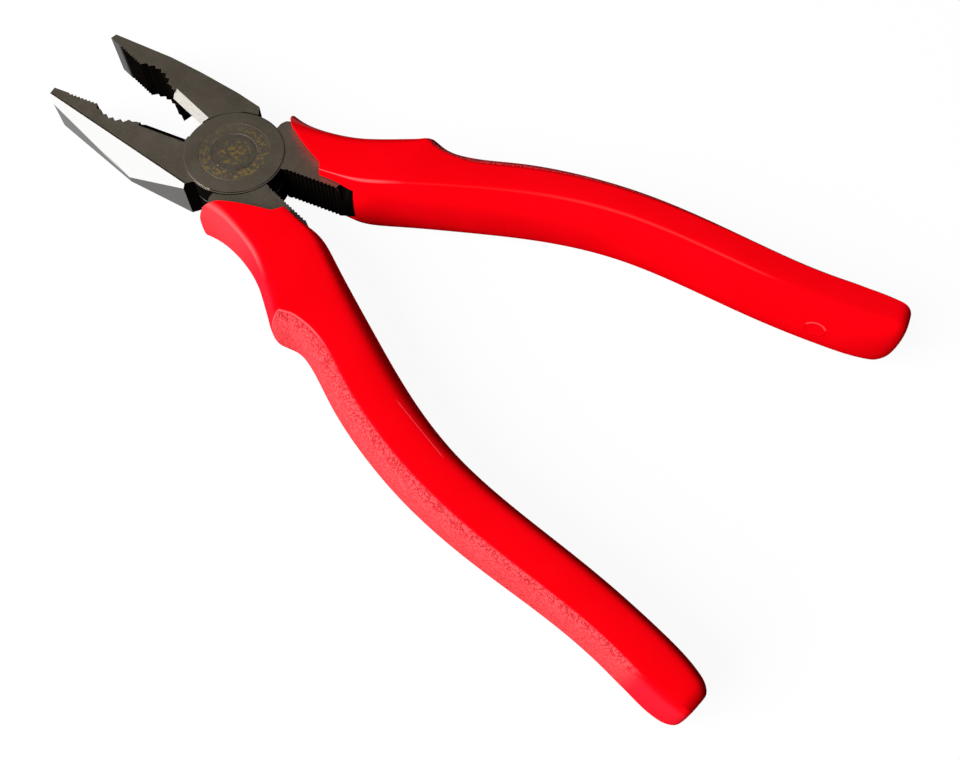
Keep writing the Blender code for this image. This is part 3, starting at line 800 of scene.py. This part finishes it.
def noise(tree, place, kind):
    """Noise of a kind, which is (scale, detail, roughness)."""
    inputs = {"Vector": place, "Scale": kind[0], "Detail": kind[1], "Roughness": kind[2]}
    return put(tree, "ShaderNodeTexNoise", None, inputs).outputs[0]


def stretched(tree, place, scale):
    return put(tree, "ShaderNodeMapping", None, {"Vector": place, "Scale": scale}).outputs[0]


def bumped(tree, relief, strength):
    """Normal for a relief in millimetres."""
    inputs = {"Height": relief, "Distance": MM, "Strength": strength}
    return put(tree, "ShaderNodeBump", None, inputs).outputs[0]


def new_material(name):
    material = bpy.data.materials.new(name)
    material.use_nodes = True
    return material, material.node_tree, material.node_tree.nodes["Principled BSDF"]


def closing_frame(tree, turn, lift):
    """Place in millimetres and normal on a CAD solid, turned back into its closing frame."""
    source = put(tree, "ShaderNodeTexCoord")
    inputs = {"Vector": source.outputs["Object"], "Scale": (1 / MM,) * 3}
    inputs.update({"Rotation": turn, "Location": (0.0, 0.0, lift)})
    place = put(tree, "ShaderNodeMapping", None, inputs).outputs[0]
    inputs = {"Vector": source.outputs["Normal"], "Rotation": turn}
    normal = put(tree, "ShaderNodeMapping", {"vector_type": "NORMAL"}, inputs).outputs[0]
    return place, normal


def steel_spot(tree, turn, lift):
    """Where a point of a half is, and which way its surface faces."""
    spot = SimpleNamespace()
    spot.place, spot.normal = closing_frame(tree, turn, lift)
    spot.x, spot.y, spot.height = split(tree, spot.place)
    spot.facing_x, spot.facing_y, spot.facing_z = split(tree, spot.normal)
    spot.radius = distance(tree, spot.x, spot.y)
    spot.off_middle = magnitude(tree, spot.height)
    spot.flat = between(tree, magnitude(tree, spot.facing_z), FLAT_MATCH)
    spot.upright = without(tree, spot.flat)
    spot.sloped = before(tree, magnitude(tree, spot.facing_z), LEVEL_MATCH)
    spot.on_jaw = between(tree, spot.x, JAW_FADE)
    return spot


def blacked_and_shade_share(tree, spot, cutter):
    """Blacked gripping faces, heel and back wall of the jaw, and painted shade on the wall of the joint
    below its face.
    """
    toward = product(tree, spot.facing_y, sums(tree, "SIGN", spot.x))
    gripping = between(tree, toward, GRIP_MATCH)
    gripping = product(tree, gripping, between(tree, spot.x, GRIP_FADE, 1.0, GRIP_TIP))
    heel = product(tree, between(tree, along(tree, spot.normal, HEEL_FACING), HEEL_MATCH), spot.upright)
    below_face = before(tree, spot.off_middle, BELOW_FACE_FADE)
    # The joint's wall below the face is painted black as shade
    lap_wall_shade = product(tree, before(tree, spot.radius, LAP_WALL_FADE), spot.upright, below_face)
    back_wall = product(tree, between(tree, spot.facing_x, BACK_WALL_MATCH), spot.upright, spot.on_jaw)
    black = highest(tree, gripping, heel, lap_wall_shade, back_wall)
    return product(tree, black, without(tree, cutter))


def polished_share(tree, spot):
    """Ground bevel along the jaw, and the jaw's back near the tip above a band of painted shade that widens.
    """
    bevel = product(tree, between(tree, along(tree, spot.normal, BEVEL_FACING), BEVEL_MATCH), spot.on_jaw)
    tip_wall = product(tree, spot.upright, between(tree, spot.x, TIP_WALL_FADE))
    tip_wall = product(tree, tip_wall, between(tree, spot.facing_y, TIP_WALL_MATCH))
    # Below a line that rises towards the tip, the polish gives way to the grey of painted shade
    shade_band_top = product(tree, sums(tree, "SUBTRACT", spot.x, SHADE_BAND_FROM), SHADE_BAND_RISE)
    over_shade_band = sums(tree, "SUBTRACT", spot.height, shade_band_top)
    over_shade_band = between(tree, over_shade_band, SHADE_BAND_FADE, SHADE_BAND_SHINE, 1.0)
    return highest(tree, bevel, product(tree, tip_wall, over_shade_band))


def bevel_line_share(tree, spot):
    """Dark line on the flat face just beside the bevel."""
    near = between(tree, along(tree, spot.place, BEVEL_FACING), BEVEL_LINE_FADE)
    level = between(tree, spot.facing_z, LEVEL_MATCH)
    return product(tree, near, spot.flat, spot.on_jaw, level)


def disc_edge_share(tree, spot):
    """Line around the joint disc, left out on the jaw's side: a matte tone on the proud step wall, painted
    to look as lit as the face so that its shade hardly shows.
    """
    proud = between(tree, spot.off_middle, PROUD_FADE)
    edge = product(tree, belt(tree, spot.radius, DISC_EDGE_BELT), spot.sloped, proud)
    return product(tree, edge, before(tree, spot.y, DISC_EDGE_FADE))


def mottled_share(tree, place):
    return between(tree, noise(tree, place, MOTTLE), MOTTLE_FADE)


def disc_stain(tree, spot):
    """Mottling in a belt on the disc, stronger to one side."""
    mottled = mottled_share(tree, spot.place)
    stain = product(tree, belt(tree, spot.radius, STAIN_BELT), mottled, spot.flat, STAIN_SHARE)
    side = along(tree, spot.place, STAIN_TOWARD)
    return product(tree, stain, between(tree, side, STAIN_FADE, STAIN_LEAST, 1.0))


def steel_material(name, turn, lift):
    """Satin ground steel, polished jaw bevel, bright cutting bevel and blacked gripping faces."""
    material, tree, shader = new_material(name)
    spot = steel_spot(tree, turn, lift)
    cutter = between(tree, along(tree, spot.normal, CUTTER_FACING), CUTTER_MATCH)
    black = blacked_and_shade_share(tree, spot, cutter)
    polished = polished_share(tree, spot)
    disc_edge = disc_edge_share(tree, spot)
    stain = disc_stain(tree, spot)
    seam = product(tree, before(tree, spot.radius, RIVET_SEAM_FADE), spot.sloped)

    clouds = noise(tree, spot.place, STEEL_CLOUDS)
    grain = noise(tree, spot.place, STEEL_GRAIN)
    lines = noise(tree, stretched(tree, spot.place, STEEL_LINES_STRETCH), STEEL_LINES)
    tone = add_up(tree, 0.0, (clouds, CLOUD_TONE), (grain, GRAIN_TONE))
    satin = blend(tree, between(tree, tone, TONE_FADE), SATIN_DARK, SATIN)
    satin = blend(tree, stain, satin, STRAW)
    specks = between(tree, noise(tree, spot.place, STEEL_SPECKS), SPECK_FADE)
    ground = blend(tree, specks, GROUND_SPECK, GROUND_EDGE)
    # Upright walls take the darker grey: painted shade
    colour = blend(tree, spot.upright, satin, SIDE_SHADE_GREY)
    colour = blend(tree, black, colour, BLACKED_AND_SHADE)
    colour = blend(tree, cutter, colour, ground)
    colour = blend(tree, polished, colour, POLISHED)
    colour = blend(tree, bevel_line_share(tree, spot), colour, EDGE_SHADE)
    # Matte step wall around the disc: painted light that hides its shade
    colour = blend(tree, disc_edge, colour, DISC_EDGE)
    # Painted shade that tones down the highlight on the seam's rounded edges
    colour = blend(tree, seam, colour, SEAM_SHADE)

    rough = add_up(tree, STEEL_ROUGHNESS, (grain, GRAIN_ROUGHNESS), (lines, LINE_ROUGHNESS))
    duller = highest(tree, cutter, seam)
    rough = add_up(tree, rough, (polished, POLISH_ROUGHNESS), (duller, GROUND_ROUGHNESS))

    off_groove = magnitude(tree, sums(tree, "SUBTRACT", spot.radius, GROOVE_RADIUS))
    groove = product(tree, between(tree, off_groove, GROOVE_FADE), before(tree, spot.radius, DISC_FADE))
    relief = add_up(tree, 0.0, (grain, GRAIN_RELIEF), (lines, LINE_RELIEF))
    relief = add_up(tree, relief, (groove, GROOVE_RELIEF), (stain, STAIN_RELIEF))
    fill_inputs(tree, shader, {
        "Base Color": colour,
        "Metallic": without(tree, highest(tree, black, disc_edge)),
        "Specular IOR Level": 0.0,
        "Roughness": rough,
        "Normal": bumped(tree, relief, STEEL_BUMP),
    })
    return material


def rivet_material():
    """Turned end of the rivet: fine rings, with mottling in its middle."""
    material, tree, shader = new_material("rivet_steel_looks")
    place = closing_frame(tree, (0.0, 0.0, 0.0), -HALF_THICKNESS)[0]
    x, y = split(tree, place)[:2]
    radius = distance(tree, x, y)
    outward = put(tree, "ShaderNodeCombineXYZ", None, {0: radius}).outputs[0]
    rings = noise(tree, outward, RIVET_RINGS)
    grain = noise(tree, place, RIVET_GRAIN)
    clouds = noise(tree, place, RIVET_CLOUDS)
    tone = add_up(tree, 0.0, (clouds, RIVET_CLOUD_TONE), (grain, RIVET_GRAIN_TONE))
    colour = blend(tree, between(tree, tone, RIVET_TONE_FADE), SATIN_DARK, SATIN)
    mottled = mottled_share(tree, place)
    stain = product(tree, before(tree, radius, RIVET_STAIN_FADE), mottled, RIVET_STAIN_SHARE)
    colour = blend(tree, stain, colour, STRAW)
    relief = add_up(tree, 0.0, (grain, GRAIN_RELIEF), (rings, RING_RELIEF))
    fill_inputs(tree, shader, {
        "Base Color": colour,
        "Metallic": 1.0,
        "Roughness": add_up(tree, RIVET_ROUGHNESS, (grain, GRAIN_ROUGHNESS)),
        "Normal": bumped(tree, relief, STEEL_BUMP),
    })
    return material


def read_layer(tree, name, output="Fac"):
    return put(tree, "ShaderNodeAttribute", {"attribute_name": name}).outputs[output]


def sleeve_spot(tree):
    """Where a point of a sleeve is in its closing frame, with the values that its mesh carries."""
    spot = SimpleNamespace()
    spot.place = read_layer(tree, "closing", "Vector")
    x, y, spot.height = split(tree, spot.place)
    spot.behind = sums(tree, "SUBTRACT", product(tree, x, -1.0), JOINT_RADIUS)
    spot.drop = product(tree, y, -1.0)
    spot.outer = read_layer(tree, "outer")
    spot.panel = read_layer(tree, "panel")
    spot.clouds = noise(tree, spot.place, VINYL_CLOUDS)
    spot.fine = noise(tree, spot.place, VINYL_FINE)
    return spot


def scratch_share(tree, spot):
    """One fine scratch along the inner edge of a face."""
    start, drop = SCRATCH_FROM
    far = sums(tree, "SUBTRACT", spot.behind, start)
    line = sums(tree, "ADD", product(tree, far, SCRATCH_SLOPE), drop)
    stroke = before(tree, magnitude(tree, sums(tree, "SUBTRACT", spot.drop, line)), SCRATCH_FADE)
    on_face = between(tree, spot.height, SCRATCH_HEIGHT)
    return product(tree, stroke, belt(tree, far, SCRATCH_BELT), on_face)


def mould_mark(tree, spot):
    """Round mark of the mould in the middle of the inner side, near the end."""
    across = sums(tree, "SUBTRACT", spot.behind, MARK_BEHIND)
    off_rim = sums(tree, "SUBTRACT", distance(tree, across, spot.height), MARK_RADIUS)
    rim = before(tree, magnitude(tree, off_rim), MARK_RIM_FADE)
    return product(tree, rim, before(tree, spot.drop, MARK_DROP_FADE))


def smooth_vinyl():
    """Red moulded vinyl of the flat faces and the inner sides, with a light handling scratch, a painted
    highlight on the mould mark's rim and a painted highlight along the inner edge.
    """
    material, tree, shader = new_material("red_vinyl_smooth")
    spot = sleeve_spot(tree)
    scuffs = noise(tree, stretched(tree, spot.place, VINYL_SCUFFS_STRETCH), VINYL_SCUFFS)
    scratch = scratch_share(tree, spot)
    mark = mould_mark(tree, spot)
    # Painted highlight on the lit part of the mark's rim
    mark_lit = product(tree, mark, between(tree, spot.height, MARK_LIT_FADE), MARK_SHARE)
    # Painted highlight along the inner edge, kept to the faces at positive height
    painted_highlight = between(tree, spot.outer, INNER_HIGHLIGHT_FADE)
    painted_highlight = product(tree, painted_highlight, between(tree, spot.height, INNER_HIGHLIGHT_HEIGHT_FADE), INNER_HIGHLIGHT_SHARE)
    colour = blend(tree, between(tree, spot.clouds, RED_FADE), RED_DEEP, RED)
    scratch_and_highlight = highest(tree, product(tree, scratch, SCRATCH_SHARE), mark_lit)
    colour = blend(tree, scratch_and_highlight, colour, RED_SCRATCH_AND_HIGHLIGHT)
    colour = blend(tree, painted_highlight, colour, RED_SCRATCH_AND_HIGHLIGHT)
    relief = add_up(tree, 0.0, (spot.fine, FINE_RELIEF), (spot.clouds, CLOUD_RELIEF))
    relief = add_up(tree, relief, (scratch, SCRATCH_RELIEF), (mark, MARK_RELIEF))
    fill_inputs(tree, shader, {
        "Base Color": colour,
        "Roughness": add_up(tree, SMOOTH_ROUGHNESS, (scuffs, SCUFF_ROUGHNESS)),
        "Specular IOR Level": 0.0,
        "Normal": bumped(tree, relief, VINYL_BUMP),
    })
    return material


def crevice_share(tree, spot):
    """Winding crevices of the leather grain."""
    off_middle = sums(tree, "SUBTRACT", noise(tree, spot.place, WORMS), WORM_MIDDLE)
    groove = before(tree, magnitude(tree, off_middle), WORM_FADE)
    broken = between(tree, noise(tree, spot.place, BREAKS), BREAK_FADE)
    thinner = between(tree, spot.outer, CREVICE_SIDE_FADE, 1.0, CREVICE_LEAST)
    return product(tree, groove, broken, thinner)


def side_colour(tree, spot):
    """Smooth outer side: paler at the lip with a painted sheen, and with a painted highlight band beside the
    guard.
    """
    # Painted sheen: paler at the lip
    side = blend(tree, between(tree, spot.behind, LIP_SHEEN_FADE), RED_LIP_SHEEN, RED_SIDE)
    # Paler down the side away from the crease: partly its own colour and partly painted sheen
    side = blend(tree, between(tree, spot.outer, SIDE_TONE_FADE), RED, side)
    # Painted highlight band beside the guard
    painted_highlight = between(tree, spot.behind, GUARD_HIGHLIGHT_FADE, GUARD_HIGHLIGHT_SHARE, 0.0)
    painted_highlight = product(tree, belt(tree, spot.outer, GUARD_HIGHLIGHT_BELT), painted_highlight)
    return blend(tree, painted_highlight, side, RED_SCRATCH_AND_HIGHLIGHT)


def grained_vinyl():
    """Outer sides of the sleeves: smooth at both ends, leather grain on the panel between them."""
    material, tree, shader = new_material("red_vinyl_grained")
    spot = sleeve_spot(tree)
    crevice = crevice_share(tree, spot)
    # Crevices of the grain darkened: painted shade
    pebbled = blend(tree, product(tree, crevice, CREVICE_SHADE_SHARE), RED_PANEL, RED_CREVICE_SHADE)
    arch = before(tree, spot.behind, ARCH_SHADE_FADE)
    # Painted highlight along the panel's arched rim
    rim = product(tree, arch, belt(tree, spot.panel, ARCH_RIM_BELT), ARCH_HIGHLIGHT_SHARE)
    valley = product(tree, arch, belt(tree, spot.panel, ARCH_VALLEY_BELT), ARCH_VALLEY_SHARE)
    shown = product(tree, spot.panel, between(tree, spot.outer, PANEL_SHOWN_FADE))
    colour = blend(tree, shown, side_colour(tree, spot), pebbled)
    colour = blend(tree, rim, colour, RED_SCRATCH_AND_HIGHLIGHT)
    colour = blend(tree, valley, colour, RED_CREVICE_SHADE)
    relief = add_up(tree, 0.0, (spot.fine, PEBBLE_RELIEF), (crevice, CREVICE_RELIEF))
    relief = add_up(tree, product(tree, relief, spot.panel), (spot.clouds, CLOUD_RELIEF))
    rough = add_up(tree, GRAINED_ROUGHNESS, (spot.fine, FINE_ROUGHNESS), (spot.panel, PANEL_ROUGHNESS))
    fill_inputs(tree, shader, {
        "Base Color": colour,
        "Roughness": rough,
        "Specular IOR Level": 0.0,
        "Normal": bumped(tree, relief, VINYL_BUMP),
    })
    return material


def grey(value):
    return (value, value, value, 1.0)


def floor_material():
    """White to the eye and in reflections, mid grey for bounced light, with the part's own shadow."""
    material, tree, shader = new_material("floor_looks")
    tree.nodes.remove(shader)
    path = put(tree, "ShaderNodeLightPath").outputs
    seen = highest(tree, path["Is Camera Ray"], path["Is Glossy Ray"], path["Is Transmission Ray"])
    glow = put(tree, "ShaderNodeEmission", None, {"Strength": FLOOR_GLOW})
    share = put(tree, "ShaderNodeBsdfDiffuse", None, {"Color": grey(FLOOR_SHARE)})
    white = put(tree, "ShaderNodeAddShader", None, {0: glow.outputs[0], 1: share.outputs[0]})
    bounce = put(tree, "ShaderNodeBsdfDiffuse", None, {"Color": grey(FLOOR_BOUNCE)})
    both = put(tree, "ShaderNodeMixShader", None, {0: seen, 1: bounce.outputs[0], 2: white.outputs[0]})
    tree.links.new(both.outputs[0], tree.nodes["Material Output"].inputs["Surface"])
    return material


def add_object(name, data):
    thing = bpy.data.objects.new(name, data)
    bpy.context.scene.collection.objects.link(thing)
    return thing


def finish_steel(node, material, width):
    """Gives a CAD solid its looks, and a fine rounding on its hard edges."""
    node.data.materials.clear()
    node.data.materials.append(material)
    weld = node.modifiers.new("weld", "WELD")
    weld.merge_threshold = SAME_PLACE * MM
    flatten = node.modifiers.new("flatten", "DECIMATE")
    flatten.decimate_type = "DISSOLVE"
    flatten.angle_limit = FLATTEN_ANGLE
    bevel = node.modifiers.new("edges", "BEVEL")
    bevel.width = width * MM
    bevel.segments = EDGE_BREAK_STEPS
    bevel.limit_method = "ANGLE"
    bevel.angle_limit = EDGE_BREAK_ANGLE
    bevel.harden_normals = True


def add_sleeve(name, node, body, matrix, creases, materials):
    """Finer sleeve in the place of a CAD sleeve, on the same body."""
    sleeve = add_object(name, sleeve_mesh(name, matrix, creases))
    for material in materials:
        sleeve.data.materials.append(material)
    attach(sleeve, body)
    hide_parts(node)


def add_floor():
    """Plain floor under the part, turned up at its far rim so that low views have the same background."""
    low = CAD_BOX[0][2]
    turns = [2 * math.pi * i / FLOOR_SIDES for i in range(FLOOR_SIDES)]
    work = bmesh.new()
    rings = []
    for radius, rise in FLOOR_RINGS:
        corners = [(radius * math.cos(turn), radius * math.sin(turn), low + rise) for turn in turns]
        rings.append([work.verts.new(corner) for corner in corners])
    work.faces.new(rings[0])
    for near, far in zip(rings, rings[1:]):
        for i in range(FLOOR_SIDES):
            j = (i + 1) % FLOOR_SIDES
            work.faces.new((near[i], far[i], far[j], near[j]))
    mesh = bpy.data.meshes.new("floor")
    work.to_mesh(mesh)
    work.free()
    mesh.shade_smooth()
    mesh.materials.append(floor_material())
    floor = add_object("floor", mesh)


def add_key_light():
    light = bpy.data.lights.new("key", "AREA")
    light.shape = "RECTANGLE"
    light.size = KEY_SIZE
    light.size_y = KEY_SIZE
    light.energy = KEY_POWER
    lamp = add_object("key", light)
    lamp.location = KEY_PLACE
    aim = lamp.location - Vector(KEY_TARGET)
    lamp.rotation_euler = aim.to_track_quat("Z", "Y").to_euler()


def add_world():
    world = bpy.data.worlds.new("studio")
    world.use_nodes = True
    background = world.node_tree.nodes["Background"]
    background.inputs["Color"].default_value = grey(1.0)
    background.inputs["Strength"].default_value = WORLD_GREY
    bpy.context.scene.world = world


def add_camera():
    lens = bpy.data.cameras.new("camera")
    lens.sensor_fit = "HORIZONTAL"
    lens.sensor_width = SENSOR_WIDTH
    lens.lens = CAMERA_LENS
    lens.clip_start = CAMERA_NEAR
    camera = add_object("camera", lens)
    camera.location = CAMERA_PLACE
    camera.rotation_euler = [math.radians(angle) for angle in CAMERA_TURN]
    bpy.context.scene.camera = camera


def add_steel_looks():
    """The rear half is turned over, and so is its material."""
    nodes = frame["nodes"]
    front = steel_material("front_steel_looks", (0.0, 0.0, -HALF_OPENING), -HALF_THICKNESS)
    rear = steel_material("rear_steel_looks", (math.pi, 0.0, -HALF_OPENING), HALF_THICKNESS)
    finish_steel(nodes["front_half"], front, HALF_EDGE_BREAK)
    finish_steel(nodes["rear_half"], rear, HALF_EDGE_BREAK)
    finish_steel(nodes["pivot_rivet"], rivet_material(), RIVET_EDGE_BREAK)


def add_sleeves():
    """Both sleeves show the face with the front crease from the photograph's side."""
    lift = Matrix.Translation((0.0, 0.0, HALF_THICKNESS * MM))
    front = lift @ Euler((0.0, 0.0, HALF_OPENING)).to_matrix().to_4x4()
    rear = lift @ Euler((math.pi, 0.0, -HALF_OPENING)).to_matrix().to_4x4()
    vinyl = (smooth_vinyl(), grained_vinyl())
    add_sleeve("front_sleeve", "front_grip", "front_handle", front, (front_crease, back_crease), vinyl)
    add_sleeve("rear_sleeve", "rear_grip", "rear_handle", rear, (back_crease, front_crease), vinyl)


bpy.context.scene.view_settings.view_transform = "Standard"
add_steel_looks()
add_sleeves()
add_floor()
add_world()
add_key_light()
add_camera()
